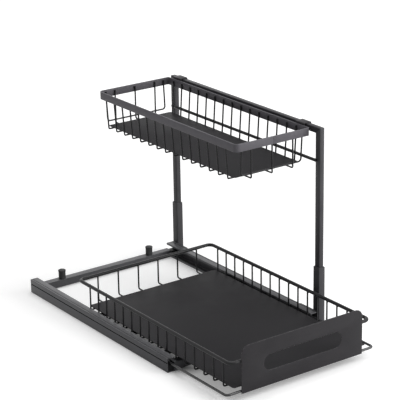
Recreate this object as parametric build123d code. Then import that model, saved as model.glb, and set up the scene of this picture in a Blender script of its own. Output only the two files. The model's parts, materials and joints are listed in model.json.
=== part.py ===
from build123d import *
import os

os.makedirs("parts", exist_ok=True)

# Two-tier pull-out organizer. While it is modelled, X = 0 is the outer face of the left rail and X grows to the
# right, Y = 0 is the rails' front end and Y grows to the rear, and Z = 0 is the surface that it stands on.
# The drawer is drawn part-way out. saved() moves each piece to the part's own frame, whose origin is the middle
# of the footprint.

# Clearances
weld_gap = 0.05  # at a welded round contact
plug_gap = 0.15  # round a piece that sits inside another
slide_gap = 0.3  # between pieces that move past each other
overrun = 6  # how far a cutter stands out of its work

# Rails: channels that open inwards
rail_length = 400
base_width = 289.6
rail_width = 13.4
rail_height = 23.3
rail_wall = 1.5
rail_edge_round = 0.8
lower_lip = 4
upper_lip = 3.4
groove_height = 14.5  # lower edge of the groove along the outer face
groove_width = 1.6
groove_depth = 0.8
top_line_inset = 2.7
top_line_width = 0.8
top_line_depth = 0.5

# Crossbars: rectangular tubes between the rails
crossbar_depth = 13.2
crossbar_height = 12.7
crossbar_wall = 1.2
crossbar_lift = 1.2
front_bar_setback = 0.3
rear_bar_setback = 1.0

# Corner blocks, which plug the crossbars to the rails
block_top = 11.5
plug_length = 20

# Countersunk screws from below
corner_screw_head = 3.2
corner_screw_head_height = 1.4
corner_screw_radius = 1.9
corner_screw_length = 9
corner_screw_recess = 0.2

# Stop bumpers on the rear crossbar
bumper_radius = 5.95
bumper_height = 14.9
bumper_inset = 56.4
bumper_forward = 0.9
bumper_edge = 0.8
bumper_screw_radius = 1.9
bumper_screw_bite = 9
bumper_screw_head = 3.4
bumper_screw_head_height = 2.2
driver_hole_radius = 4.2

# Frame: two legs in sockets, a top bar and a rod
leg_width = 8.5
leg_depth = 11
leg_wall = 1.2
frame_height = 325
frame_front = 0.5
frame_rear_setback = 1.1
top_bar_height = 9.5
socket_wall = 1.5
socket_height = 96.8
plate_thickness = 1.5
plate_length = 44
plate_screw_spacing = 13
plate_screw_end = 7
plate_screw_height = 8
plate_screw_radius = 1.9
plate_screw_head = 3.5
plate_screw_head_height = 1.8
leg_plug_height = 12
leg_screw_low = 26
leg_screw_high = 74
leg_screw_radius = 1.7
leg_screw_head = 3
leg_screw_head_height = 1.6
leg_screw_end_room = 1.5
rod_diameter = 5
rod_drop = 52  # rod's axis below the top bar's top
rod_end_inset = 6.5

# Upper basket
band_width = 141.8
band_length = 379
band_height = 12.6
band_thickness = 1.8
band_left_corner = 8
band_right_corner = 3
band_front = 20
band_drop = 2  # band's top below the top bar's
band_to_leg = 4.55
basket_wire = 2.6
upper_basket_depth = 63.2
upper_wire_drop = 3  # wires' ends below the band's top
upper_floor_inset = 6.4  # cross wires' axis at the floor, in from the band's outer face
upper_floor_end_inset = 15
upper_bend = 2.6
kink_radius = 12
upper_cross_count = 15
upper_cross_first = 29.6
upper_cross_pitch = 23.6
upper_long_count = 3
upper_long_pitch = 40
end_wire_half_width = 58
end_wire_bend = 5
end_wire_rise = 9.1  # above the cross wires' run
floor_thickness = 1
floor_gap = 0.3
floor_front_gap = 3.3  # lower floor's front edge behind the panel
floor_corner = 4
hook_width = 21
hook_from_end = 14
hook_thickness = 1.4
hook_tab = 10.5  # how far the tab reaches down the band
hook_lip = 9
hook_bend = 1.1

# Slide loop and what carries the drawer on it
loop_wire = 4
arm_inset = 6.3
arm_height = 14.0
loop_corner = 6
glider_length = 20
glider_edge = 1
support_bar_width = 14
support_bar_thickness = 1.4
support_bar_places = (30, 120, 209)
open_travel = 170
closed_travel = 137
rear_stop_room = 1.2

# Lower basket
drawer_reach = 143.1  # panel's face in front of the rails
rim_wire = 5.6
rim_side_inset = 14.1
rim_length = 405.2
rim_height = 60.9
rim_corner = 9
lower_bend = 3
lower_cross_count = 16
lower_cross_first = 22.75
lower_cross_pitch = 23.8
lower_long_count = 6
lower_long_pitch = 39.2

# Front panel
panel_thickness = 1.5
panel_inset = 31.2
panel_bottom = 10.8
panel_height = 74.1
panel_corner = 13
slot_length = 146
slot_height = 25.8
slot_middle = 36.4  # above the panel's lower edge
panel_edge = 0.3

# Places that several pieces share
front_bar_y = front_bar_setback + crossbar_depth / 2
rear_bar_y = rail_length - rear_bar_setback - crossbar_depth / 2
crossbar_top = crossbar_lift + crossbar_height
bumper_y = rear_bar_y - bumper_forward
socket_x = base_width + plate_thickness
leg_x = socket_x + socket_wall + plug_gap
leg_outer_x = leg_x + leg_width
socket_outer_x = leg_outer_x + plug_gap + socket_wall
frame_rear = rail_length - frame_rear_setback
band_right = leg_x - band_to_leg
band_left = band_right - band_width
band_middle = (band_left + band_right) / 2
band_rear = band_front + band_length
band_top = frame_height - band_drop
band_bottom = band_top - band_height
wire_radius = basket_wire / 2
whole_width = socket_outer_x + leg_screw_head_height
whole_rear = frame_rear + plug_gap + socket_wall
to_part_frame = Pos(-whole_width / 2, (drawer_reach - whole_rear) / 2, 0)


def block(x0, x1, y0, y1, z0, z1):
    return Pos((x0 + x1) / 2, (y0 + y1) / 2, (z0 + z1) / 2) * Box(x1 - x0, y1 - y0, z1 - z0)


def pin(place, direction, radius, length):
    base = Plane(origin=place, z_dir=direction)
    return base * Cylinder(radius, length, align=(Align.CENTER, Align.CENTER, Align.MIN))


def bent_wire(points, radii, diameter, close=False):
    path = FilletPolyline(*points, radius=radii, close=close)
    section = Plane(origin=path @ 0, z_dir=path % 0) * Circle(diameter / 2)
    return sweep(section, path=path)


def other_side(piece, middle):
    return mirror(piece, about=Plane.YZ.offset(middle))


def other_end(piece, middle):
    return mirror(piece, about=Plane.XZ.offset(-middle))


def saved(node, *pieces):
    export_step(to_part_frame * Compound(children=list(pieces)), "parts/" + node + ".step")


# Countersunk screw that points up, or its hole when it is grown
def corner_screw(x, y, z, grown=0):
    head = Cone(corner_screw_head + grown, corner_screw_radius + grown, corner_screw_head_height)
    head = Pos(x, y, z + corner_screw_head_height / 2) * head
    return head + pin((x, y, z), (0, 0, 1), corner_screw_radius + grown, corner_screw_length + grown)


# Straight mouth of such a hole, from below up to the screw's head
def screw_mouth(x, y, z):
    return pin((x, y, -overrun), (0, 0, 1), corner_screw_head + weld_gap, overrun + z)


corner_bars = (front_bar_y, rear_bar_y)
rail_screw_x = rail_width / 2
bar_screw_x = rail_width + plug_length / 2
bar_screw_z = crossbar_lift + corner_screw_recess
rail_screws = [corner_screw(rail_screw_x, y, corner_screw_recess) for y in corner_bars]
bar_screws = [corner_screw(bar_screw_x, y, bar_screw_z) for y in corner_bars]
rail_screw_holes = [corner_screw(rail_screw_x, y, corner_screw_recess, weld_gap) for y in corner_bars]
rail_screw_mouths = [screw_mouth(rail_screw_x, y, corner_screw_recess) for y in corner_bars]
bar_screw_holes = [corner_screw(bar_screw_x, y, bar_screw_z, weld_gap) for y in corner_bars]
bar_screw_mouths = [screw_mouth(bar_screw_x, y, bar_screw_z) for y in corner_bars]


# Rails
def plain_rail():
    rail = block(0, rail_width, 0, rail_length, 0, rail_height)
    outer_edges = rail.edges().filter_by(Axis.Y).group_by(Axis.X)[0]
    rail = fillet(outer_edges, rail_edge_round)
    inner_x = rail_width - rail_wall
    back = rail_length + overrun
    rail -= block(rail_wall, inner_x, -overrun, back, rail_wall, rail_height - rail_wall)
    rail -= block(rail_width / 2, rail_width + overrun, -overrun, back, lower_lip, rail_height - upper_lip)
    rail -= block(-overrun, groove_depth, -overrun, back, groove_height, groove_height + groove_width)
    line_right = top_line_inset + top_line_width
    line_floor = rail_height - top_line_depth
    rail -= block(top_line_inset, line_right, -overrun, back, line_floor, rail_height + overrun)
    for cutter in rail_screw_holes + rail_screw_mouths:
        rail -= cutter
    return rail


left_rail = plain_rail()
right_rail = other_side(left_rail, base_width / 2)

# Plates between rail and sockets, and their screws, whose tips end inside the rail's web
front_plate_screws = [plate_length - plate_screw_end, plate_length - plate_screw_end - plate_screw_spacing]
plate_screw_ys = front_plate_screws + [rail_length - y for y in front_plate_screws]
plate_screws = []
plates = block(base_width, socket_x, 0, plate_length, 0, rail_height)
plates = [plates, other_end(plates, rail_length / 2)]
for y in plate_screw_ys:
    tip = (base_width - rail_wall + plug_gap, y, plate_screw_height)
    shank = pin(tip, (1, 0, 0), plate_screw_radius, socket_x - tip[0])
    head = pin((socket_x, y, plate_screw_height), (1, 0, 0), plate_screw_head, plate_screw_head_height)
    plate_screws.append(shank + fillet(head.edges().group_by(Axis.X)[-1], plate_screw_head_height / 2))
    start = (base_width - rail_wall - plug_gap, y, plate_screw_height)
    hole = pin(start, (1, 0, 0), plate_screw_radius + weld_gap, overrun)
    right_rail -= hole
    plates = [plate - hole for plate in plates]

saved("left_rail", left_rail)
saved("right_rail", right_rail)
saved("socket_plates", *plates)
saved("plate_screws", *plate_screws)


# Corner blocks
def corner_block(bar_y):
    half = crossbar_depth / 2
    inner_half = half - crossbar_wall - plug_gap
    channel_x = rail_width - rail_wall - plug_gap
    piece = block(rail_wall + plug_gap, channel_x, bar_y - half, bar_y + half, rail_wall, block_top)
    piece += block(channel_x, rail_width, bar_y - half, bar_y + half, lower_lip + plug_gap, block_top)
    plug_bottom = crossbar_lift + crossbar_wall
    plug_end = rail_width + plug_length
    plug_top = min(block_top, crossbar_top - crossbar_wall - plug_gap)
    piece += block(rail_width, plug_end, bar_y - inner_half, bar_y + inner_half, plug_bottom, plug_top)
    for cutter in rail_screw_holes + bar_screw_holes:
        piece -= cutter
    return piece


left_blocks = [corner_block(y) for y in corner_bars]
right_blocks = [other_side(piece, base_width / 2) for piece in left_blocks]
left_screws = rail_screws + bar_screws
right_screws = [other_side(piece, base_width / 2) for piece in left_screws]
saved("corner_blocks", *left_blocks, *right_blocks)
saved("corner_screws", *left_screws, *right_screws)


# Crossbars
def crossbar(bar_y):
    half = crossbar_depth / 2
    inner_half = half - crossbar_wall
    right = base_width - rail_width
    bar = block(rail_width, right, bar_y - half, bar_y + half, crossbar_lift, crossbar_top)
    bar -= block(
        rail_width - overrun,
        right + overrun,
        bar_y - inner_half,
        bar_y + inner_half,
        crossbar_lift + crossbar_wall,
        crossbar_top - crossbar_wall,
    )
    for cutter in bar_screw_holes + bar_screw_mouths:
        bar = bar - cutter - other_side(cutter, base_width / 2)
    return bar


front_crossbar = crossbar(front_bar_y)
rear_crossbar = crossbar(rear_bar_y)

# Stop bumpers, each held by a screw from inside the rear crossbar
bumpers = []
bumper_screws = []
for x in (bumper_inset, base_width - bumper_inset):
    inside_top = crossbar_top - crossbar_wall
    hole_length = bumper_screw_bite + crossbar_wall + plug_gap
    hole = pin((x, bumper_y, inside_top), (0, 0, 1), bumper_screw_radius + weld_gap, hole_length)
    driver_hole = pin((x, bumper_y, -overrun), (0, 0, 1), driver_hole_radius, overrun + crossbar_height / 2)
    rear_crossbar = rear_crossbar - hole - driver_hole
    bumper = pin((x, bumper_y, crossbar_top), (0, 0, 1), bumper_radius, bumper_height)
    bumper = fillet(bumper.edges().group_by(Axis.Z)[-1], bumper_edge)
    bumpers.append(bumper - hole)
    head_place = (x, bumper_y, inside_top - bumper_screw_head_height)
    screw = pin(head_place, (0, 0, 1), bumper_screw_head, bumper_screw_head_height)
    screw += pin(head_place, (0, 0, 1), bumper_screw_radius, bumper_screw_head_height + hole_length - plug_gap)
    bumper_screws.append(screw)

saved("front_crossbar", front_crossbar)
saved("rear_crossbar", rear_crossbar)
saved("stop_bumpers", *bumpers)
saved("bumper_screws", *bumper_screws)


# Sockets and legs
def socket(leg_y0):
    leg_y1 = leg_y0 + leg_depth
    around = socket_wall + plug_gap
    tube = block(socket_x, socket_outer_x, leg_y0 - around, leg_y1 + around, 0, socket_height)
    inside = (leg_x - plug_gap, leg_outer_x + plug_gap, leg_y0 - plug_gap, leg_y1 + plug_gap)
    tube -= block(*inside, -overrun, socket_height + overrun)
    return tube


def leg_plug(leg_y0):
    return block(leg_x, leg_outer_x, leg_y0, leg_y0 + leg_depth, slide_gap, leg_plug_height)


# Both legs stand on their plugs and meet the top bar in a mitre
def leg_with_bar():
    corner = frame_height - top_bar_height
    inner_x = (leg_x + leg_wall, leg_outer_x - leg_wall)
    inner_y = (frame_front + leg_wall, frame_front + leg_depth - leg_wall)
    leg = block(leg_x, leg_outer_x, frame_front, frame_front + leg_depth, leg_plug_height, frame_height)
    leg -= block(*inner_x, *inner_y, leg_plug_height - overrun, frame_height - leg_wall)
    bar = block(leg_x, leg_outer_x, frame_front, frame_rear, corner, frame_height)
    bar_inside = (corner + leg_wall, frame_height - leg_wall)
    bar -= block(*inner_x, frame_front + leg_wall, frame_rear - leg_wall, *bar_inside)
    tip = (leg_x, frame_front, frame_height)
    inner_corner = (leg_x, frame_front + leg_depth, corner)
    above = make_face(Polyline(tip, inner_corner, (leg_x, frame_front + leg_depth, frame_height), close=True))
    below = make_face(Polyline(tip, inner_corner, (leg_x, frame_front, corner), close=True))
    leg -= extrude(above, amount=leg_width, dir=(1, 0, 0))
    bar_wedge = extrude(below, amount=leg_width, dir=(1, 0, 0))
    bar = bar - bar_wedge - other_end(bar_wedge, (frame_front + frame_rear) / 2)
    return leg, bar


frame_middle = (frame_front + frame_rear) / 2
front_leg, top_bar = leg_with_bar()
rear_leg = other_end(front_leg, frame_middle)
front_socket = socket(frame_front)
rear_socket = other_end(front_socket, frame_middle)
front_plug = leg_plug(frame_front)
leg_screws = []
for height in (leg_screw_low, leg_screw_high):
    y = frame_front + leg_depth / 2
    tip_x = leg_outer_x - leg_wall - leg_screw_end_room
    shank = pin((tip_x, y, height), (1, 0, 0), leg_screw_radius, socket_outer_x - tip_x)
    head = pin((socket_outer_x, y, height), (1, 0, 0), leg_screw_head, leg_screw_head_height)
    screw = shank + fillet(head.edges().group_by(Axis.X)[-1], leg_screw_head_height / 2)
    hole = pin((tip_x, y, height), (1, 0, 0), leg_screw_radius + weld_gap, overrun)
    leg_screws += [screw, other_end(screw, frame_middle)]
    front_leg -= hole
    front_socket -= hole
    rear_leg -= other_end(hole, frame_middle)
    rear_socket -= other_end(hole, frame_middle)

saved("front_socket", front_socket)
saved("rear_socket", rear_socket)
saved("leg_plugs", front_plug, other_end(front_plug, frame_middle))
saved("front_leg", front_leg)
saved("rear_leg", rear_leg)
saved("top_bar", top_bar)
saved("leg_screws", *leg_screws)

# Support rod, welded to the legs' inner faces
rod_x = leg_x - weld_gap - rod_diameter / 2
rod_length = frame_rear - frame_front - rod_end_inset - rod_end_inset
rod_start = (rod_x, frame_front + rod_end_inset, frame_height - rod_drop)
saved("support_rod", pin(rod_start, (0, 1, 0), rod_diameter / 2, rod_length))


# U-shaped basket wire, centred on the YZ plane. The points of its right half run from its end down to its run.
def cradle_wire(right, radii):
    left = [(-x, y, z) for x, y, z in reversed(right)]
    return bent_wire(right + left, radii + radii[::-1], basket_wire)


# Upper basket: band, wires, floor
def rounded_plate(x0, x1, y0, y1, z0, z1, corner):
    outline = Pos((x0 + x1) / 2, (y0 + y1) / 2, z0) * RectangleRounded(x1 - x0, y1 - y0, corner)
    return extrude(outline, amount=z1 - z0)


# The band's corners are wide on the left and tight beside the frame
def band_outline(inset):
    outline = Rectangle(band_width - inset - inset, band_length - inset - inset)
    outline = fillet(outline.vertices().group_by(Axis.X)[0], band_left_corner - inset)
    return fillet(outline.vertices().group_by(Axis.X)[-1], band_right_corner - inset)


band_middle_y = (band_front + band_rear) / 2
upper_band = extrude(band_outline(0) - band_outline(band_thickness), amount=band_height)
saved("upper_band", Pos(band_middle, band_middle_y, band_bottom) * upper_band)

wire_inset = band_thickness + weld_gap + wire_radius
wire_top = band_top - upper_wire_drop
upper_cross_z = band_top - upper_basket_depth + wire_radius
upper_long_z = upper_cross_z + basket_wire + weld_gap
upper_floor_z = upper_long_z + wire_radius + weld_gap
end_wire_z = upper_cross_z + end_wire_rise
end_wire_lean = basket_wire + weld_gap

side_x = band_width / 2 - wire_inset
floor_x = band_width / 2 - upper_floor_inset
cross_wire = cradle_wire(
    [(side_x, 0, wire_top), (side_x, 0, band_bottom), (floor_x, 0, upper_cross_z)], [kink_radius, upper_bend]
)
upper_cross_ys = [band_front + upper_cross_first + n * upper_cross_pitch for n in range(upper_cross_count)]
saved("upper_cross_wires", *[Pos(band_middle, y, 0) * cross_wire for y in upper_cross_ys])

long_reach = band_length / 2 - wire_inset
long_wire = Rot(0, 0, 90) * cradle_wire([(long_reach, 0, wire_top), (long_reach, 0, upper_long_z)], [upper_bend])
long_shares = [n - (upper_long_count - 1) / 2 for n in range(upper_long_count)]
upper_long_xs = [band_middle + upper_long_pitch * share for share in long_shares]
saved("upper_long_wires", *[Pos(x, band_middle_y, 0) * long_wire for x in upper_long_xs])

# The end wires lean in below the band, so that their run passes inside the lengthwise wires
end_wire_points = [
    (end_wire_half_width, 0, wire_top),
    (end_wire_half_width, 0, band_bottom),
    (end_wire_half_width, end_wire_lean, end_wire_z),
]
end_wire = cradle_wire(end_wire_points, [kink_radius, end_wire_bend])
end_wire = Pos(band_middle, band_front + wire_inset, 0) * end_wire
saved("upper_end_wires", end_wire, other_end(end_wire, band_middle_y))

side_room = upper_floor_inset + wire_radius + floor_gap
upper_floor = rounded_plate(
    band_left + side_room,
    band_right - side_room,
    band_front + upper_floor_end_inset,
    band_rear - upper_floor_end_inset,
    upper_floor_z,
    upper_floor_z + floor_thickness,
    floor_corner,
)
saved("upper_floor", upper_floor)

# Hook plates: a tab on the band, a bridge over the top bar and a lip behind it
hook_y = band_front + hook_from_end
hook_low = frame_height + slide_gap
hook_high = hook_low + hook_thickness
lip_x = leg_outer_x + slide_gap
hook = block(band_right, lip_x + hook_thickness, hook_y, hook_y + hook_width, band_top - hook_tab, hook_high)
hook = fillet(hook.edges().filter_by(Axis.Y).group_by(Axis.Z)[-1], hook_bend)
hook -= block(
    band_right + hook_thickness, lip_x, hook_y - overrun, hook_y + hook_width + overrun, 0, hook_low
)
lip_end = hook_high - hook_lip
hook -= block(lip_x - weld_gap, lip_x + overrun, hook_y - overrun, hook_y + hook_width + overrun, 0, lip_end)
saved("hook_plates", hook, other_end(hook, band_middle_y))

# Slide loop: two arms in the rails, joined by the front run behind the panel's lower edge
panel_back = panel_thickness - drawer_reach
loop_front = panel_back + weld_gap + loop_wire / 2
rear_block_front = rear_bar_y - crossbar_depth / 2
glider_back = rear_block_front - closed_travel - rear_stop_room
arm_right = base_width - arm_inset
slide_loop = bent_wire(
    [
        (arm_inset, glider_back, arm_height),
        (arm_inset, loop_front, arm_height),
        (arm_right, loop_front, arm_height),
        (arm_right, glider_back, arm_height),
    ],
    loop_corner,
    loop_wire,
)
saved("slide_loop", slide_loop)

# Gliders: the front ones stop the drawer against the front corner blocks
front_block_rear = front_bar_y + crossbar_depth / 2
front_glider = front_block_rear + slide_gap + open_travel
gliders = []
for start in (front_glider, glider_back - glider_length):
    end = start + glider_length
    low = rail_wall + slide_gap
    right = rail_width - rail_wall - slide_gap
    glider = block(rail_wall + slide_gap, right, start, end, low, rail_height - low)
    glider = chamfer(glider.edges().filter_by(Axis.X), glider_edge)
    bore = pin((arm_inset, start - overrun, arm_height), (0, 1, 0), loop_wire / 2 + weld_gap, end - start + overrun * 2)
    gliders.append(glider - bore)
saved("slide_gliders", *gliders, *[other_side(glider, base_width / 2) for glider in gliders])

# Support bars: flat bars between the arms, just above the front crossbar, that carry the lower basket
bar_low = crossbar_top + slide_gap
bar_high = bar_low + support_bar_thickness
bar_left = arm_inset + loop_wire / 2 + weld_gap
support_bars = [
    block(bar_left, base_width - bar_left, y, y + support_bar_width, bar_low, bar_high)
    for y in support_bar_places
]
saved("support_bars", *support_bars)

# Lower basket: rim, wires, floor
rim_left = rim_side_inset
rim_right = base_width - rim_side_inset
rim_front = panel_back + weld_gap + rim_wire / 2
rim_rear = rim_front + rim_length
rim_points = [
    (rim_left, rim_front, rim_height),
    (rim_right, rim_front, rim_height),
    (rim_right, rim_rear, rim_height),
    (rim_left, rim_rear, rim_height),
]
saved("lower_rim", bent_wire(rim_points, rim_corner, rim_wire, close=True))

rim_to_wire = rim_wire / 2 + weld_gap + wire_radius
lower_cross_z = bar_high + weld_gap + wire_radius
lower_long_z = lower_cross_z + basket_wire + weld_gap
lower_floor_z = lower_long_z + wire_radius + weld_gap
lower_half_width = (rim_right - rim_left) / 2 - rim_to_wire
lower_cross = cradle_wire([(lower_half_width, 0, rim_height), (lower_half_width, 0, lower_cross_z)], [lower_bend])
lower_cross_ys = [rim_front + lower_cross_first + n * lower_cross_pitch for n in range(lower_cross_count)]
saved("lower_cross_wires", *[Pos(base_width / 2, y, 0) * lower_cross for y in lower_cross_ys])

# The lengthwise wires rise only at the rear, and end at the panel, whose slot has nothing behind it
long_rear = rim_rear - rim_to_wire
lower_long_points = [
    (0, long_rear, rim_height),
    (0, long_rear, lower_long_z),
    (0, panel_back + weld_gap, lower_long_z),
]
lower_long = bent_wire(lower_long_points, lower_bend, basket_wire)
lower_shares = [n - (lower_long_count - 1) / 2 for n in range(lower_long_count)]
lower_long_xs = [base_width / 2 + lower_long_pitch * share for share in lower_shares]
saved("lower_long_wires", *[Pos(x, 0, 0) * lower_long for x in lower_long_xs])

# The floor's rear edge is what meets the bumpers when the drawer is shut
floor_room = rim_to_wire + wire_radius + floor_gap
lower_floor = rounded_plate(
    rim_left + floor_room,
    rim_right - floor_room,
    panel_back + floor_front_gap,
    bumper_y - bumper_radius - slide_gap - closed_travel,
    lower_floor_z,
    lower_floor_z + floor_thickness,
    floor_corner,
)
saved("lower_floor", lower_floor)

# Front panel with its handle slot
panel_width = base_width - panel_inset - panel_inset
panel_middle_z = panel_bottom + panel_height / 2
front_face = Plane(origin=(base_width / 2, panel_back, panel_middle_z), x_dir=(1, 0, 0), z_dir=(0, -1, 0))
outline = Rectangle(panel_width, panel_height)
outline = fillet(outline.vertices().group_by(Axis.Y)[-1], panel_corner)
outline -= Pos(0, slot_middle - panel_height / 2, 0) * SlotOverall(slot_length, slot_height)
front_panel = extrude(front_face * outline, amount=panel_thickness)
front_panel = chamfer(front_panel.faces().sort_by(Axis.Y)[0].edges(), panel_edge)
saved("front_panel", front_panel)
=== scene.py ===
import json
import math

import bpy
from mathutils import Matrix, Vector


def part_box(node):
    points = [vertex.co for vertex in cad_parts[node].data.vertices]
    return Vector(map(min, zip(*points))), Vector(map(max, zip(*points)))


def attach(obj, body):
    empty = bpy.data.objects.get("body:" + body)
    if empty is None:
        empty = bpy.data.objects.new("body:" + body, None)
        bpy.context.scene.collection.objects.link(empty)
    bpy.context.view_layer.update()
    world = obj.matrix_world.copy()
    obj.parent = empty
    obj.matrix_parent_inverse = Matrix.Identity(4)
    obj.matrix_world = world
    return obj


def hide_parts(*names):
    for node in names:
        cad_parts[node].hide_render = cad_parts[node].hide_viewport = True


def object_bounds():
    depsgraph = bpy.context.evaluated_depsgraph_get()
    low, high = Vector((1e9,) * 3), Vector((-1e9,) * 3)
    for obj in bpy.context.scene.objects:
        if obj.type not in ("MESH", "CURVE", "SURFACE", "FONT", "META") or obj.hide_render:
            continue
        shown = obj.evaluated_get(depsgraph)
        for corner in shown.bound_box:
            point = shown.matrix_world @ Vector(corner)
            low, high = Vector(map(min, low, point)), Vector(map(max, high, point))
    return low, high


# Looks for the two-tier pull-out organizer: powder-coated rails and wire baskets.
# Everything is in metres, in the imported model's frame.

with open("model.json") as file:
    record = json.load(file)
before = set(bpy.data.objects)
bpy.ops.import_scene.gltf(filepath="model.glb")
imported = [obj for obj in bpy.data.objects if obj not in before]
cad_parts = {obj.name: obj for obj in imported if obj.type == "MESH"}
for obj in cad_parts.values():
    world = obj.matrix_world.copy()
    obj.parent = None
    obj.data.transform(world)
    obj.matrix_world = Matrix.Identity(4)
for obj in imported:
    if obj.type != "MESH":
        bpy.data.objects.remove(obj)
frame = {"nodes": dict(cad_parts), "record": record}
nodes = frame["nodes"]
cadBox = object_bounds()
print("frame loaded:", len(nodes), "nodes")


# Camera

photoCamera = {
    "aim": (0.02079, 0.02279, 0.19426),
    "azimuth": -35.472,     # degrees, 0 looks along +Y
    "elevation": 19.44,
    "roll": -1.001,
    "distance": 2.70785,
    "lens": 154.311,        # mm, and so is the sensor
    "sensor": 36,
    "farthest": 50,
}


def placeCamera(settings):
    turn, rise, roll = (math.radians(settings[k]) for k in ("azimuth", "elevation", "roll"))
    right = Vector((math.cos(turn), math.sin(turn), 0))
    back = Vector((math.sin(turn) * math.cos(rise), -math.cos(turn) * math.cos(rise), math.sin(rise)))
    up = back.cross(right)
    rolledRight = right * math.cos(roll) + up * math.sin(roll)
    rolledUp = up * math.cos(roll) - right * math.sin(roll)
    bpy.ops.object.camera_add(location=Vector(settings["aim"]) + back * settings["distance"])
    camera = bpy.context.object
    camera.name = "photoCamera"
    camera.rotation_euler = Matrix((rolledRight, rolledUp, back)).transposed().to_euler()
    camera.data.lens = settings["lens"]
    camera.data.sensor_width = settings["sensor"]
    camera.data.clip_end = settings["farthest"]
    bpy.context.scene.camera = camera


placeCamera(photoCamera)
bpy.context.scene.view_settings.view_transform = "Standard"
print("camera placed")


# Node helpers for the materials

def newMaterial(name):
    material = bpy.data.materials.new(name)
    material.use_nodes = True
    return material, material.node_tree.nodes, material.node_tree.links


def newGroup(name, inputs, outputs):
    group = bpy.data.node_groups.new(name, "ShaderNodeTree")
    for label, kind, value in inputs:
        socket = group.interface.new_socket(name=label, in_out="INPUT", socket_type=kind)
        socket.default_value = value
    for label, kind in outputs:
        group.interface.new_socket(name=label, in_out="OUTPUT", socket_type=kind)
    return group, group.nodes, group.links


def feed(links, value, socket):
    # A value is another node's output, or a plain number
    if isinstance(value, bpy.types.NodeSocket):
        links.new(value, socket)
    else:
        socket.default_value = value


def mathStep(parts, links, operation, first, second=0, clamped=False):
    step = parts.new("ShaderNodeMath")
    step.operation = operation
    step.use_clamp = clamped
    feed(links, first, step.inputs[0])
    feed(links, second, step.inputs[1])
    return step.outputs[0]


def rangeStep(parts, links, value, span, ends=(0, 1), smooth=False):
    step = parts.new("ShaderNodeMapRange")
    if smooth:
        step.interpolation_type = "SMOOTHSTEP"
    for label, amount in (
        ("Value", value), ("From Min", span[0]), ("From Max", span[1]),
        ("To Min", ends[0]), ("To Max", ends[1]),
    ):
        feed(links, amount, step.inputs[label])
    return step.outputs["Result"]


def noiseStep(parts, links, place, scale, detail, roughness=0.5):
    step = parts.new("ShaderNodeTexNoise")
    step.inputs["Detail"].default_value = detail
    step.inputs["Roughness"].default_value = roughness
    links.new(place, step.inputs["Vector"])
    links.new(scale, step.inputs["Scale"])
    return step.outputs["Fac"]


def mixStep(parts, links, factor, first, second):
    step = parts.new("ShaderNodeMix")
    step.data_type = "RGBA"
    links.new(factor, step.inputs["Factor"])
    feed(links, first, step.inputs[6])      # the colour sockets
    feed(links, second, step.inputs[7])
    return step.outputs[2]


# Powder coat and moulded surfaces: fine grain, slow clouding, and a little light in the high spots

grainLook = {
    "grainNoise": {"detail": 3, "roughness": 0.6},
    "cloudNoise": {"detail": 4, "roughness": 0.55},
    "tintSpan": (0.75, 1.25),       # of grain and clouds together
    "sheenSpan": (0.3, 0.7),        # of the clouds
    "cornerRadius": 0.00035,        # the coat runs thin and round over an edge
    "samples": 4,
}


def makeGrainGroup(look):
    group, parts, links = newGroup(
        "coatGrain",
        [
            ("Deep Color", "NodeSocketColor", (0.02, 0.02, 0.02, 1)),
            ("High Color", "NodeSocketColor", (0.03, 0.03, 0.03, 1)),
            ("Grain Scale", "NodeSocketFloat", 1500),
            ("Cloud Scale", "NodeSocketFloat", 40),
            ("Smooth End", "NodeSocketFloat", 0.35),
            ("Rough End", "NodeSocketFloat", 0.5),
            ("Grain Height", "NodeSocketFloat", 0.00002),
        ],
        [("Color", "NodeSocketColor"), ("Roughness", "NodeSocketFloat"), ("Normal", "NodeSocketVector")],
    )
    given = parts.new("NodeGroupInput")
    result = parts.new("NodeGroupOutput")
    place = parts.new("ShaderNodeTexCoord").outputs["Object"]
    grain = noiseStep(parts, links, place, given.outputs["Grain Scale"], **look["grainNoise"])
    cloud = noiseStep(parts, links, place, given.outputs["Cloud Scale"], **look["cloudNoise"])

    spread = rangeStep(parts, links, mathStep(parts, links, "ADD", grain, cloud), look["tintSpan"])
    tint = mixStep(parts, links, spread, given.outputs["Deep Color"], given.outputs["High Color"])
    links.new(tint, result.inputs["Color"])
    ends = (given.outputs["Smooth End"], given.outputs["Rough End"])
    links.new(rangeStep(parts, links, cloud, look["sheenSpan"], ends), result.inputs["Roughness"])

    corners = parts.new("ShaderNodeBevel")
    corners.samples = look["samples"]
    corners.inputs["Radius"].default_value = look["cornerRadius"]
    relief = parts.new("ShaderNodeBump")
    relief.inputs["Strength"].default_value = 1
    links.new(corners.outputs["Normal"], relief.inputs["Normal"])
    links.new(given.outputs["Grain Height"], relief.inputs["Distance"])
    links.new(grain, relief.inputs["Height"])
    links.new(relief.outputs["Normal"], result.inputs["Normal"])
    return group


# Rubbed edges and painted edge highlights: a lighter colour where a rounded normal parts from the true one,
# broken up by noise, standing for wear and for the highlight that an edge catches

edgeHighlightLook = {
    "reach": 0.0006,                # where a coat gives none of its own
    "breakScale": 220,
    "breakDetail": 3,
    "edgeSpan": (0.995, 0.8),       # of the two normals' dot product
    "breakSpan": (0.4, 0.65),
    "samples": 4,
}


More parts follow.
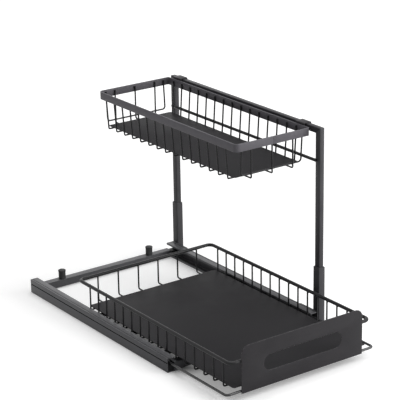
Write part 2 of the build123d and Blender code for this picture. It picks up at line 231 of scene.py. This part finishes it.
def makeEdgeHighlightGroup(look):
    group, parts, links = newGroup(
        "wornEdgeHighlight",
        [("Reach", "NodeSocketFloat", look["reach"]), ("Break Scale", "NodeSocketFloat", look["breakScale"])],
        [("Mask", "NodeSocketFloat")],
    )
    given = parts.new("NodeGroupInput")
    result = parts.new("NodeGroupOutput")
    place = parts.new("ShaderNodeTexCoord").outputs["Object"]
    rounded = parts.new("ShaderNodeBevel")
    rounded.samples = look["samples"]
    surface = parts.new("ShaderNodeNewGeometry")
    apart = parts.new("ShaderNodeVectorMath")
    apart.operation = "DOT_PRODUCT"
    links.new(given.outputs["Reach"], rounded.inputs["Radius"])
    links.new(rounded.outputs["Normal"], apart.inputs[0])
    links.new(surface.outputs["Normal"], apart.inputs[1])
    edge = rangeStep(parts, links, apart.outputs["Value"], look["edgeSpan"])
    speckle = noiseStep(parts, links, place, given.outputs["Break Scale"], look["breakDetail"])
    broken = rangeStep(parts, links, speckle, look["breakSpan"])
    links.new(mathStep(parts, links, "MULTIPLY", edge, broken), result.inputs["Mask"])
    return group


coatGrain = makeGrainGroup(grainLook)
wornEdgeHighlight = makeEdgeHighlightGroup(edgeHighlightLook)

coats = {
    # name: record's slot, deep, high and rubbed colour, roughness ends, grain and cloud scale, height,
    # specular level, and how far in an edge the rubbed colour reaches; that colour is partly wear and partly
    # a painted edge highlight. A coat is for every node of its slot, or only for the nodes and pieces that it
    # lists.
    "frameCoat": {
        "slot": "frame_coat", "deep": (0.033, 0.0325, 0.036), "high": (0.049, 0.048, 0.052),
        "wearAndHighlight": (0.15, 0.15, 0.16), "smooth": 0.38, "rough": 0.48, "grain": 1400, "cloud": 30,
        "height": 0.000014, "specular": 0.12,
    },
    # A lighter copy of the frame coat: its colour paints the light on the legs' and sockets' faces
    "legCoatLit": {
        "slot": "frame_coat", "deep": (0.05, 0.049, 0.0535), "high": (0.07, 0.069, 0.074),
        "wearAndHighlight": (0.17, 0.17, 0.18), "smooth": 0.38, "rough": 0.48, "grain": 1400, "cloud": 30,
        "height": 0.000014, "specular": 0.15,
        "nodes": ("front_leg", "rear_leg", "front_socket", "rear_socket"),
    },
    # A lighter copy of the frame coat: its colour paints the light on the rails' and crossbars' faces
    "railCoatLit": {
        "slot": "frame_coat", "deep": (0.06, 0.06, 0.065), "high": (0.084, 0.084, 0.09),
        "wearAndHighlight": (0.22, 0.22, 0.232), "smooth": 0.36, "rough": 0.46, "grain": 1500, "cloud": 26,
        "height": 0.000012, "specular": 0.25, "reach": 0.0011,
        "nodes": ("left_rail", "right_rail", "front_crossbar", "rear_crossbar"),
    },
    "basketCoat": {
        "slot": "basket_coat", "deep": (0.01, 0.01, 0.011), "high": (0.018, 0.018, 0.0195),
        "wearAndHighlight": (0.06, 0.06, 0.064), "smooth": 0.28, "rough": 0.38, "grain": 1700, "cloud": 45,
        "height": 0.000008, "specular": 0.2,
    },
    # A glossier copy of the basket coat whose lighter colour paints the highlight along the loop's top
    "loopCoatHighlit": {
        "slot": "basket_coat", "deep": (0.02, 0.02, 0.0215), "high": (0.034, 0.034, 0.0365),
        "wearAndHighlight": (0.14, 0.14, 0.145), "smooth": 0.2, "rough": 0.28, "grain": 1900, "cloud": 50,
        "height": 0.000006, "specular": 0.45, "nodes": ("slide_loop",),
    },
    "sheetCoat": {
        "slot": "sheet_coat", "deep": (0.02, 0.0188, 0.021), "high": (0.032, 0.03, 0.033),
        "wearAndHighlight": (0.3, 0.29, 0.3), "smooth": 0.44, "rough": 0.56, "grain": 1900, "cloud": 22,
        "height": 0.000012, "specular": 0.15, "reach": 0.0009,
    },
    # A darker, duller copy of the sheet coat: its darker colour paints the shade on the basket floors
    "floorCoatShaded": {
        "slot": "sheet_coat", "deep": (0.015, 0.0145, 0.016), "high": (0.025, 0.024, 0.026),
        "wearAndHighlight": (0.12, 0.115, 0.12), "smooth": 0.48, "rough": 0.62, "grain": 1900, "cloud": 22,
        "height": 0.000012, "specular": 0.06, "nodes": ("upper_floor", "lower_floor"),
    },
    # A much lighter copy of the sheet coat: its colour paints the light that falls on the upper band
    "bandCoatLit": {
        "slot": "sheet_coat", "deep": (0.09, 0.086, 0.097), "high": (0.117, 0.112, 0.124),
        "wearAndHighlight": (0.22, 0.215, 0.23), "smooth": 0.4, "rough": 0.5, "grain": 1900, "cloud": 22,
        "height": 0.000012, "specular": 0.2, "nodes": ("upper_band",),
    },
    "blackNylon": {
        "slot": "black_nylon", "deep": (0.008, 0.008, 0.0086), "high": (0.014, 0.014, 0.0148),
        "wearAndHighlight": (0.05, 0.05, 0.05), "smooth": 0.46, "rough": 0.6, "grain": 900, "cloud": 60,
        "height": 0.00002, "specular": 0.15,
    },
    # Near-black for the rail strips, which paint the shade in the grooves
    "shadeStripBlack": {
        "slot": "black_nylon", "deep": (0.0015, 0.0015, 0.0016), "high": (0.004, 0.004, 0.0042),
        "wearAndHighlight": (0.006, 0.006, 0.006), "smooth": 0.7, "rough": 0.85, "grain": 900, "cloud": 60,
        "height": 0.00001, "specular": 0.02, "nodes": ("railShadeStrips",),
    },
    "blackRubber": {
        "slot": "black_rubber", "deep": (0.02, 0.02, 0.021), "high": (0.035, 0.035, 0.036),
        "wearAndHighlight": (0.07, 0.07, 0.07), "smooth": 0.6, "rough": 0.78, "grain": 1200, "cloud": 90,
        "height": 0.00002, "specular": 0.35,
    },
    "blackScrew": {
        "slot": "black_screws", "deep": (0.014, 0.014, 0.015), "high": (0.03, 0.03, 0.032),
        "wearAndHighlight": (0.12, 0.12, 0.125), "smooth": 0.28, "rough": 0.42, "grain": 2600, "cloud": 160,
        "height": 0.000008, "specular": 0.5,
    },
}


def addGrain(parts, links, look, shader):
    grain = parts.new("ShaderNodeGroup")
    grain.node_tree = coatGrain
    for label, value in (
        ("Deep Color", (*look["deep"], 1)), ("High Color", (*look["high"], 1)),
        ("Grain Scale", look["grain"]), ("Cloud Scale", look["cloud"]),
        ("Smooth End", look["smooth"]), ("Rough End", look["rough"]), ("Grain Height", look["height"]),
    ):
        grain.inputs[label].default_value = value
    links.new(grain.outputs["Roughness"], shader.inputs["Roughness"])
    links.new(grain.outputs["Normal"], shader.inputs["Normal"])
    return grain.outputs["Color"]


def makeCoat(name, look):
    material, parts, links = newMaterial(name)
    shader = parts["Principled BSDF"]
    shader.inputs["Specular IOR Level"].default_value = look["specular"]
    color = addGrain(parts, links, look, shader)
    # Edges get a lighter colour: part rubbed wear, part a painted highlight along the edge
    edge = parts.new("ShaderNodeGroup")
    edge.node_tree = wornEdgeHighlight
    edge.inputs["Reach"].default_value = look.get("reach", edgeHighlightLook["reach"])
    wearAndHighlight = mixStep(parts, links, edge.outputs["Mask"], color, (*look["wearAndHighlight"], 1))
    links.new(wearAndHighlight, shader.inputs["Base Color"])
    return material


zincLook = {
    "deep": (0.42, 0.42, 0.43), "high": (0.66, 0.66, 0.68), "smooth": 0.24, "rough": 0.42,
    "grain": 2400, "cloud": 180, "height": 0.000006,
}


def makeZinc(look):
    material, parts, links = newMaterial("zincPlate")
    shader = parts["Principled BSDF"]
    shader.inputs["Metallic"].default_value = 1
    links.new(addGrain(parts, links, look, shader), shader.inputs["Base Color"])
    return material


finishes = {}
finishOfNode = {}
for coatName, coatLook in coats.items():
    coat = makeCoat(coatName, coatLook)
    if "nodes" in coatLook:
        finishOfNode.update({nodeName: coat for nodeName in coatLook["nodes"]})
    else:
        finishes[coatLook["slot"]] = coat
finishes["zinc_screws"] = makeZinc(zincLook)

slotOfNode = {part["node"]: part["material_slot"] for part in frame["record"]["subparts"]}
for nodeName, node in nodes.items():
    finishOfNode.setdefault(nodeName, finishes[slotOfNode[nodeName]])
    node.data.materials.clear()
    node.data.materials.append(finishOfNode[nodeName])
print("finishes:", len(coats) + 1)


# Stage: pale floor, white surroundings, soft lamps

stageLook = {
    "floorSize": 24,
    "floorDrop": 0.0004,    # below the object
    "floorColor": (0.88, 0.88, 0.88),
    "floorRoughness": 0.9,
    "floorLift": 0.36,      # light that only the camera and reflections see, which whitens the floor
    # The smaller lift inside the footprint paints shade on the floor under the object
    "nearLiftWithShade": 0.27,       # and what is left of it inside the footprint
    "liftStart": -0.001,    # how far out of the footprint it begins to rise, and where it is full
    "liftFull": 0.16,
    # The strips without lift paint a contact shadow along the rails
    "shadeWidth": 0.018,    # no lift on strips this wide inside the rails, in front of the drawer's rear
    "shadeEnds": 0.03,      # and it fades back in over this length
    "farLift": 0.6,         # added far off, where the lamps no longer reach
    "farStart": 0.5,
    "farFull": 3.5,
    "ambient": 0.28,
    "background": 1.0,
}


def seenRays(parts, links):
    # 1 for the camera's rays and for those that a gloss or a clear body sends on
    rays = parts.new("ShaderNodeLightPath").outputs
    first = mathStep(parts, links, "ADD", rays["Is Camera Ray"], rays["Is Glossy Ray"], clamped=True)
    return mathStep(parts, links, "ADD", first, rays["Is Transmission Ray"], clamped=True)


def outsideFootprint(parts, links, place):
    # How far a point of the floor lies outside the object's footprint
    footprint = [max(abs(cadBox[0][axis]), abs(cadBox[1][axis])) for axis in (0, 1)] + [0]
    for operation, value in (
        ("ABSOLUTE", None), ("SUBTRACT", footprint), ("MAXIMUM", (0, 0, 0)), ("LENGTH", None),
    ):
        step = parts.new("ShaderNodeVectorMath")
        step.operation = operation
        if value is not None:
            step.inputs[1].default_value = value
        links.new(place, step.inputs[0])
        place = step.outputs[0]
    return step.outputs["Value"]


def clearOfRailShade(parts, links, place, look):
    # 0 on the strip along each rail's inner side, in front of the drawer's rear, where the floor's lift is
    # withheld to paint a contact shadow, and 1 elsewhere
    leftLow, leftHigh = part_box("left_rail")
    rightLow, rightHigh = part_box("right_rail")
    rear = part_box("lower_floor")[1].y
    halfOuter, halfInner = (rightHigh.x - leftLow.x) / 2, (rightLow.x - leftHigh.x) / 2
    strip, fade = halfInner - look["shadeWidth"], look["shadeEnds"]
    axes = parts.new("ShaderNodeSeparateXYZ")
    links.new(place, axes.inputs[0])
    along = axes.outputs["Y"]
    centred = mathStep(parts, links, "SUBTRACT", axes.outputs["X"], (leftLow.x + rightHigh.x) / 2)
    aside = mathStep(parts, links, "ABSOLUTE", centred)
    lit = rangeStep(parts, links, aside, (halfInner, halfOuter))
    for measure, span in (
        (aside, (strip, strip - fade)), (along, (rear, rear + fade)), (along, (leftLow.y, leftLow.y - fade)),
    ):
        lit = mathStep(parts, links, "MAXIMUM", lit, rangeStep(parts, links, measure, span))
    return lit


def makeFloor(look):
    bpy.ops.mesh.primitive_grid_add(
        x_subdivisions=4, y_subdivisions=4, size=look["floorSize"], location=(0, 0, -look["floorDrop"]),
    )
    floor = bpy.context.object
    floor.name = "floor"
    bpy.ops.object.transform_apply(location=True, rotation=True, scale=True)
    material, parts, links = newMaterial("paleFloor")
    shader = parts["Principled BSDF"]
    shader.inputs["Base Color"].default_value = (*look["floorColor"], 1)
    shader.inputs["Roughness"].default_value = look["floorRoughness"]
    shader.inputs["Specular IOR Level"].default_value = 0
    shader.inputs["Emission Color"].default_value = (1, 1, 1, 1)
    place = parts.new("ShaderNodeTexCoord").outputs["Object"]
    reach = outsideFootprint(parts, links, place)
    nearEnds = (look["nearLiftWithShade"], look["floorLift"])
    near = rangeStep(parts, links, reach, (look["liftStart"], look["liftFull"]), nearEnds, smooth=True)
    far = rangeStep(parts, links, reach, (look["farStart"], look["farFull"]), (0, look["farLift"]))
    both = mathStep(parts, links, "ADD", near, far)
    # Lift withheld under the object and beside the rails paints shade on the floor there
    lift = mathStep(parts, links, "MULTIPLY", both, clearOfRailShade(parts, links, place, look))
    shown = mathStep(parts, links, "MULTIPLY", seenRays(parts, links), lift)
    links.new(shown, shader.inputs["Emission Strength"])
    floor.data.materials.append(material)


def makeWorld(look):
    world = bpy.data.worlds.new("whiteStudio")
    world.use_nodes = True
    bpy.context.scene.world = world
    parts, links = world.node_tree.nodes, world.node_tree.links
    ambient = parts["Background"]
    ambient.inputs["Color"].default_value = (1, 1, 1, 1)
    ambient.inputs["Strength"].default_value = look["ambient"]
    seenWhite = parts.new("ShaderNodeBackground")
    seenWhite.inputs["Color"].default_value = (1, 1, 1, 1)
    seenWhite.inputs["Strength"].default_value = look["background"]
    choose = parts.new("ShaderNodeMixShader")
    links.new(seenRays(parts, links), choose.inputs["Fac"])
    links.new(ambient.outputs[0], choose.inputs[1])
    links.new(seenWhite.outputs[0], choose.inputs[2])
    links.new(choose.outputs[0], parts["World Output"].inputs["Surface"])


lamps = {
    "overheadSoftbox": {"place": (0.1, 0.3, 2.3), "size": 1.8, "power": 25},
    "keyRight": {"place": (0.95, -0.95, 1.1), "size": 1.3, "power": 18},
    "frontGlow": {"place": (1.1, -1.6, 0.4), "size": 0.8, "power": 7},
    "rearGlow": {"place": (0.7, 1.5, 0.55), "size": 0.6, "power": 1.1},
}
lampAim = Vector((0, 0, 0.12))


def addLamp(name, look, aim):
    bpy.ops.object.light_add(type="AREA", location=look["place"])
    lamp = bpy.context.object
    lamp.name = name
    lamp.data.shape = "SQUARE"
    lamp.data.size = look["size"]
    lamp.data.energy = look["power"]
    lamp.visible_camera = False
    lamp.rotation_euler = (Vector(look["place"]) - aim).to_track_quat("Z", "Y").to_euler()


makeFloor(stageLook)
makeWorld(stageLook)
for lampName, lampLook in lamps.items():
    addLamp(lampName, lampLook, lampAim)
print("stage lit")


# Modelling helpers

smoothAngle = math.radians(35)
softAngle = math.radians(30)
sharpAngle = math.radians(40)
flatAngle = math.radians(0.5)
mergeWithin = 1e-6
closeTo = 1e-5          # how near a box's side an edge counts as on it
nearlyAlong = 0.9       # how much of a direction lies on an axis for it to count as along


def deselectAll():
    bpy.ops.object.select_all(action="DESELECT")


def makeActive(piece):
    deselectAll()
    piece.select_set(True)
    bpy.context.view_layer.objects.active = piece


def settle(piece):
    # The place goes into the mesh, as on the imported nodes
    makeActive(piece)
    bpy.ops.object.transform_apply(location=True, rotation=True, scale=True)


def addBlock(name, low, high):
    deselectAll()
    bpy.ops.mesh.primitive_cube_add(size=1, location=[(a + b) / 2 for a, b in zip(low, high)])
    piece = bpy.context.object
    piece.name = name
    piece.scale = [b - a for a, b in zip(low, high)]
    settle(piece)
    return piece


def addRound(name, middle, radius, depth, sides):
    deselectAll()
    bpy.ops.mesh.primitive_cylinder_add(vertices=sides, radius=radius, depth=depth, location=middle)
    piece = bpy.context.object
    piece.name = name
    settle(piece)
    return piece


def selectNone(piece, kind):
    makeActive(piece)
    bpy.ops.object.mode_set(mode="EDIT")
    bpy.ops.mesh.select_mode(type=kind)
    bpy.ops.mesh.select_all(action="DESELECT")
    bpy.ops.object.mode_set(mode="OBJECT")


def openOnEdges(piece, wanted):
    # Opens the piece for editing with only the edges that wanted(middle, direction) accepts
    selectNone(piece, "EDGE")
    points = piece.data.vertices
    for edge in piece.data.edges:
        a, b = (points[i].co for i in edge.vertices)
        edge.select = wanted((a + b) / 2, (b - a).normalized())
    bpy.ops.object.mode_set(mode="EDIT")


def openOnFaces(piece, wanted):
    selectNone(piece, "FACE")
    for face in piece.data.polygons:
        face.select = wanted(face.center, face.normal)
    bpy.ops.object.mode_set(mode="EDIT")


def closeEdit():
    bpy.ops.object.mode_set(mode="OBJECT")


def cutAway(piece, cutter):
    makeActive(piece)
    bpy.ops.object.modifier_add(type="BOOLEAN")
    cut = piece.modifiers[-1]
    cut.operation = "DIFFERENCE"
    cut.solver = "EXACT"
    cut.object = cutter
    bpy.ops.object.modifier_apply(modifier=cut.name)
    makeActive(cutter)
    bpy.ops.object.delete()


def shadeSmooth():
    bpy.ops.object.shade_smooth_by_angle(angle=smoothAngle)


def softenEdges(piece, width, segments=2):
    makeActive(piece)
    bpy.ops.object.modifier_add(type="BEVEL")
    soft = piece.modifiers[-1]
    soft.width = width
    soft.segments = segments
    soft.limit_method = "ANGLE"
    soft.angle_limit = softAngle
    soft.harden_normals = False
    bpy.ops.object.modifier_apply(modifier=soft.name)
    shadeSmooth()


def joinPieces(name, pieces):
    deselectAll()
    for piece in pieces:
        piece.select_set(True)
    bpy.context.view_layer.objects.active = pieces[0]
    if len(pieces) > 1:
        bpy.ops.object.join()
    joined = bpy.context.view_layer.objects.active
    joined.name = name
    return joined


def dress(piece, slotName, body, *standsFor):
    piece.data.materials.clear()
    shown = standsFor[0] if standsFor else piece.name
    piece.data.materials.append(finishOfNode.get(shown, finishes[slotName]))
    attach(piece, body)
    if standsFor:
        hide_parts(*standsFor)


def copyOfNode(nodeName, name):
    # The node's loose triangles are merged, and its flat faces made whole
    makeActive(nodes[nodeName])
    bpy.ops.object.duplicate()
    piece = bpy.context.object
    piece.name = name
    piece.data = piece.data.copy()
    piece.data.name = name
    bpy.ops.object.mode_set(mode="EDIT")
    bpy.ops.mesh.select_all(action="SELECT")
    bpy.ops.mesh.remove_doubles(threshold=mergeWithin)
    bpy.ops.mesh.dissolve_limited(angle_limit=flatAngle)
    bpy.ops.object.mode_set(mode="OBJECT")
    return piece


# Front panel: a sheet with round top corners and a slot for the hand

panelLook = {
    "cornerRadius": 0.013,
    "cornerSteps": 14,
    "slotLength": 0.146,
    "slotHeight": 0.0258,
    "slotMiddle": 0.0364,   # above the lower edge
    "slotRound": 0.999,     # share of half its height
    "slotSteps": 16,
    "edgeRound": 0.0006,
    "edgeSteps": 3,
    "overrun": 0.01,        # of the cutter
}


def makePanel(look):
    low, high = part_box("front_panel")
    panel = addBlock("handlePanel", low, high)
    openOnEdges(panel, lambda middle, way: abs(way.y) > nearlyAlong and middle.z > high.z - closeTo)
    bpy.ops.mesh.bevel(offset=look["cornerRadius"], segments=look["cornerSteps"], affect="EDGES")
    closeEdit()
    middleX = (low.x + high.x) / 2
    slotZ = low.z + look["slotMiddle"]
    half, reach = look["slotHeight"] / 2, look["slotLength"] / 2
    cutter = addBlock(
        "slotCutter", (middleX - reach, low.y - look["overrun"], slotZ - half),
        (middleX + reach, high.y + look["overrun"], slotZ + half),
    )
    openOnEdges(cutter, lambda middle, way: abs(way.y) > nearlyAlong)
    bpy.ops.mesh.bevel(offset=half * look["slotRound"], segments=look["slotSteps"], affect="EDGES")
    closeEdit()
    cutAway(panel, cutter)
    softenEdges(panel, look["edgeRound"], look["edgeSteps"])
    dress(panel, "sheet_coat", "drawer", "front_panel")


# Upper band: one strip bent round four corners, its ends welded at the front's middle

bandLook = {
    "leftRadius": 0.008,
    "leftSteps": 10,
    "rightRadius": 0.003,   # the tight corners beside the frame
    "rightSteps": 6,
    "thickness": 0.0018,
    "edgeRound": 0.00045,
    "seamWidth": 0.0005,
    "seamDepth": 0.0003,
    "overrun": 0.002,       # of the seam's cutter
}


def makeBand(look):
    low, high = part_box("upper_band")
    band = addBlock("basketBand", low, high)
    middleX = (low.x + high.x) / 2
    openOnEdges(band, lambda middle, way: abs(way.z) > nearlyAlong and middle.x < middleX)
    bpy.ops.mesh.bevel(offset=look["leftRadius"], segments=look["leftSteps"], affect="EDGES")
    closeEdit()
    openOnEdges(band, lambda middle, way: abs(way.z) > nearlyAlong and middle.x > high.x - closeTo)
    bpy.ops.mesh.bevel(offset=look["rightRadius"], segments=look["rightSteps"], affect="EDGES")
    closeEdit()
    openOnFaces(band, lambda middle, normal: abs(normal.z) > nearlyAlong)
    bpy.ops.mesh.delete(type="FACE")
    closeEdit()
    bpy.ops.object.modifier_add(type="SOLIDIFY")
    wall = band.modifiers[-1]
    wall.thickness = look["thickness"]
    wall.offset = -1
    wall.use_even_offset = True
    bpy.ops.object.modifier_apply(modifier=wall.name)
    half = look["seamWidth"] / 2
    seam = addBlock(
        "seamCutter", (middleX - half, low.y - look["overrun"], low.z - look["overrun"]),
        (middleX + half, low.y + look["seamDepth"], high.z + look["overrun"]),
    )
    cutAway(band, seam)
    softenEdges(band, look["edgeRound"])
    dress(band, "sheet_coat", "upper_basket", "upper_band")


makePanel(panelLook)
makeBand(bandLook)
print("panel and band shaped")


# Folded and extruded metal with its long edges rounded off

softPieces = {
    # name: node that it stands for, body, edge radius, shortest edge that is rounded
    "leftRail": {"node": "left_rail", "body": "base", "round": 0.0003, "shortest": 0.008},
    "rightRail": {"node": "right_rail", "body": "base", "round": 0.0003, "shortest": 0.008},
    "frontCrossbar": {"node": "front_crossbar", "body": "base", "round": 0.0005, "shortest": 0.009},
    "rearCrossbar": {"node": "rear_crossbar", "body": "base", "round": 0.0005, "shortest": 0.009},
    "frontSocket": {"node": "front_socket", "body": "base", "round": 0.0006, "shortest": 0.006},
    "rearSocket": {"node": "rear_socket", "body": "base", "round": 0.0006, "shortest": 0.006},
    "socketPlates": {"node": "socket_plates", "body": "base", "round": 0.0005, "shortest": 0.001},
    "frontLeg": {"node": "front_leg", "body": "base", "round": 0.0006, "shortest": 0.006},
    "rearLeg": {"node": "rear_leg", "body": "base", "round": 0.0006, "shortest": 0.006},
    "topBar": {"node": "top_bar", "body": "base", "round": 0.0006, "shortest": 0.006},
    "hookPlates": {"node": "hook_plates", "body": "upper_basket", "round": 0.0004, "shortest": 0.001},
    "basketFloor": {"node": "upper_floor", "body": "upper_basket", "round": 0.0003, "shortest": 0.002},
    "drawerFloor": {"node": "lower_floor", "body": "drawer", "round": 0.0003, "shortest": 0.002},
    "supportBars": {"node": "support_bars", "body": "drawer", "round": 0.0003, "shortest": 0.001},
}


def makeSoft(name, look):
    piece = copyOfNode(look["node"], name)
    bpy.ops.object.mode_set(mode="EDIT")
    bpy.ops.mesh.select_mode(type="EDGE")
    bpy.ops.mesh.select_all(action="DESELECT")
    bpy.ops.mesh.edges_select_sharp(sharpness=sharpAngle)
    bpy.ops.object.mode_set(mode="OBJECT")
    points = piece.data.vertices
    for edge in piece.data.edges:
        a, b = (points[i].co for i in edge.vertices)
        edge.select = edge.select and (b - a).length > look["shortest"]
    bpy.ops.object.mode_set(mode="EDIT")
    bpy.ops.mesh.bevel(offset=look["round"], segments=2, affect="EDGES", clamp_overlap=False)
    closeEdit()
    shadeSmooth()
    dress(piece, slotOfNode[look["node"]], look["body"], look["node"])


for softName, softLook in softPieces.items():
    makeSoft(softName, softLook)
print("edges rounded:", len(softPieces), "pieces")


# Rails: painted shade, as near-black strips in the groove along each outer face and in the line along each
# top

shadeStripLook = {
    "height": 0.0145, "width": 0.0016, "depth": 0.0008,             # the groove along the outer face
    "topInset": 0.0027, "topWidth": 0.0008, "topDepth": 0.0005,     # the line along the top
    "sunk": 0.0001, "endRoom": 0.0006, "edgeRound": 0.0001,
}


def makeShadeStrips(look):
    strips = []
    for nodeName, outer, inward in (("left_rail", 0, 1), ("right_rail", 1, -1)):
        low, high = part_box(nodeName)
        face = (low.x, high.x)[outer]
        inner, front = face + inward * look["depth"], face + inward * look["sunk"]
        strip = addBlock(
            "grooveShadeStrip", (min(inner, front), low.y + look["endRoom"], look["height"]),
            (max(inner, front), high.y - look["endRoom"], look["height"] + look["width"]),
        )
        near = face + inward * look["topInset"]
        far = near + inward * look["topWidth"]
        line = addBlock(
            "topShadeStrip", (min(near, far), low.y + look["endRoom"], high.z - look["topDepth"]),
            (max(near, far), high.y - look["endRoom"], high.z - look["sunk"]),
        )
        for part in (strip, line):
            softenEdges(part, look["edgeRound"])
            strips.append(part)
    dress(joinPieces("railShadeStrips", strips), "black_nylon", "base")


makeShadeStrips(shadeStripLook)
print("rail gaps laid")


# Stop bumpers: each with a slightly wider cap

bumperLook = {
    "extra": 0.0004, "proud": 0.0003, "capHeight": 0.0026, "edgeRound": 0.0006, "edgeSteps": 3, "sides": 40,
}


def makeBumpers(look):
    low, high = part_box("stop_bumpers")
    radius = (high.y - low.y) / 2
    middleY = (low.y + high.y) / 2
    parts = [copyOfNode("stop_bumpers", "bumperBodies")]
    for middleX in (low.x + radius, high.x - radius):
        cap = addRound(
            "bumperCap", (middleX, middleY, high.z + look["proud"] - look["capHeight"] / 2),
            radius + look["extra"], look["capHeight"], look["sides"],
        )
        softenEdges(cap, look["edgeRound"], look["edgeSteps"])
        parts.append(cap)
    bumpers = joinPieces("stopBumpers", parts)
    shadeSmooth()
    dress(bumpers, "black_rubber", "base", "stop_bumpers")


makeBumpers(bumperLook)
print("bumpers capped")


# Weld beads where the wires meet, where they meet the rim and the band, and at the rod's ends

beadLook = {
    "wire": 0.0026,         # the baskets' wire
    "acrossWire": 0.0011,   # a bead's half sizes
    "alongWire": 0.0017,
    "sunk": 0.0009,
    "crossCount": {"lower": 16, "upper": 15},
    "longCount": {"lower": 6, "upper": 3},
    "rimStretch": 1.5,              # shares of acrossWire, for beads that stand upright
    "bandStretch": (1.4, 1.2),
    "bandBeads": (0.003, 0.0085),   # down from the wires' ends
    "rodBead": (0.0022, 0.0026, 0.0009),
    "segments": 8,
    "rings": 5,
}


def evenly(first, last, count):
    return [first + (last - first) * n / (count - 1) for n in range(count)]


def makeBeads(name, body, look, spots):
    # spots: a bead's middle, and its half sizes
    deselectAll()
    bpy.ops.mesh.primitive_uv_sphere_add(segments=look["segments"], ring_count=look["rings"], radius=1)
    bpy.ops.object.shade_smooth()
    first = bpy.context.object
    beads = [first]
    for _ in spots[1:]:
        makeActive(first)
        bpy.ops.object.duplicate()
        beads.append(bpy.context.object)
    for bead, (middle, halves) in zip(beads, spots):
        bead.location = middle
        bead.scale = halves
    beadGroup = joinPieces(name, beads)
    settle(beadGroup)
    dress(beadGroup, "basket_coat", body)


def crossingSpots(look, level):
    crossLow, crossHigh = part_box(level + "_cross_wires")
    longLow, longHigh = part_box(level + "_long_wires")
    half = look["wire"] / 2
    ys = evenly(crossLow.y + half, crossHigh.y - half, look["crossCount"][level])
    xs = evenly(longLow.x + half, longHigh.x - half, look["longCount"][level])
    meet = crossLow.z + look["wire"]
    flat = (look["alongWire"], look["alongWire"], look["sunk"])
    return ys, xs, [((x, y, meet), flat) for x in xs for y in ys]


def lowerSpots(look):
    ys, xs, spots = crossingSpots(look, "lower")
    crossLow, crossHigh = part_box("lower_cross_wires")
    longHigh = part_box("lower_long_wires")[1]
    rimLow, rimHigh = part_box("lower_rim")
    level = (rimLow.z + rimHigh.z) / 2 - look["acrossWire"]
    upright = (look["sunk"], look["acrossWire"] * look["rimStretch"], look["alongWire"])
    spots += [((x, y, level), upright) for x in (crossLow.x, crossHigh.x) for y in ys]
    turned = (upright[1], upright[0], upright[2])
    spots += [((x, longHigh.y, level), turned) for x in xs]
    return spots


def upperSpots(look):
    ys, xs, spots = crossingSpots(look, "upper")
    crossLow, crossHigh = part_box("upper_cross_wires")
    longLow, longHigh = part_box("upper_long_wires")
    endLow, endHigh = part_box("upper_end_wires")
    half = look["wire"] / 2
    upright = (look["sunk"], *(look["acrossWire"] * stretch for stretch in look["bandStretch"]))
    turned = (upright[1], upright[0], upright[2])
    for drop in look["bandBeads"]:
        level = crossHigh.z - drop
        spots += [((x, y, level), upright) for x in (crossLow.x, crossHigh.x) for y in ys]
        endXs = xs + [endLow.x + half, endHigh.x - half]
        spots += [((x, y, level), turned) for x in endXs for y in (longLow.y, longHigh.y)]
    for y in (longLow.y + look["wire"], longHigh.y - look["wire"]):
        spots += [((x, y, endLow.z + half), (look["alongWire"], look["sunk"], look["alongWire"])) for x in xs]
    return spots


def rodSpots(look):
    low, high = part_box("support_rod")
    reach = look["rodBead"]
    ends = (low.y + reach[1], high.y - reach[1])
    return [((high.x - reach[2], y, z), reach) for y in ends for z in (low.z + reach[2], high.z - reach[2])]


makeBeads("drawerWelds", "drawer", beadLook, lowerSpots(beadLook))
makeBeads("basketWelds", "upper_basket", beadLook, upperSpots(beadLook))
makeBeads("rodWelds", "base", beadLook, rodSpots(beadLook))
print("welds placed")


# Screws: a cross recess in each head that shows

screwLook = {
    # piece: node, body, the way its heads face, recess length, width and depth
    "legScrews": {
        "node": "leg_screws", "body": "base", "way": (1, 0, 0),
        "long": 0.0036, "wide": 0.0009, "deep": 0.0008,
    },
    "plateScrews": {
        "node": "plate_screws", "body": "base", "way": (1, 0, 0),
        "long": 0.004, "wide": 0.001, "deep": 0.0009,
    },
    "cornerScrews": {
        "node": "corner_screws", "body": "base", "way": (0, 0, -1),
        "long": 0.0036, "wide": 0.0009, "deep": 0.0009,
    },
}


def recessArms(look):
    # The half sizes of the recess's two arms
    arms = []
    for longAxis in [axis for axis in range(3) if not look["way"][axis]]:
        arm = [look["deep"] if look["way"][axis] else look["wide"] / 2 for axis in range(3)]
        arm[longAxis] = look["long"] / 2
        arms.append(Vector(arm))
    return arms


def makeScrews(name, look):
    copyOfNode(look["node"], name)
    way = Vector(look["way"])
    bpy.ops.object.mode_set(mode="EDIT")
    bpy.ops.mesh.select_all(action="SELECT")
    bpy.ops.mesh.separate(type="LOOSE")
    bpy.ops.object.mode_set(mode="OBJECT")
    loose = list(bpy.context.selected_objects)
    for screw in loose:
        spots = [Vector(corner) for corner in screw.bound_box]
        low = Vector([min(spot[axis] for spot in spots) for axis in range(3)])
        high = Vector([max(spot[axis] for spot in spots) for axis in range(3)])
        middle = (low + high) / 2
        tip = max(spot.dot(way) for spot in spots)
        top = middle + way * (tip - middle.dot(way))    # the head's middle, on its outer face
        for arm in recessArms(look):
            cutAway(screw, addBlock("recessCutter", top - arm, top + arm))
    screws = joinPieces(name, loose)
    shadeSmooth()
    dress(screws, slotOfNode[look["node"]], look["body"], look["node"])


for screwName, screwValues in screwLook.items():
    makeScrews(screwName, screwValues)
print("screws cut")
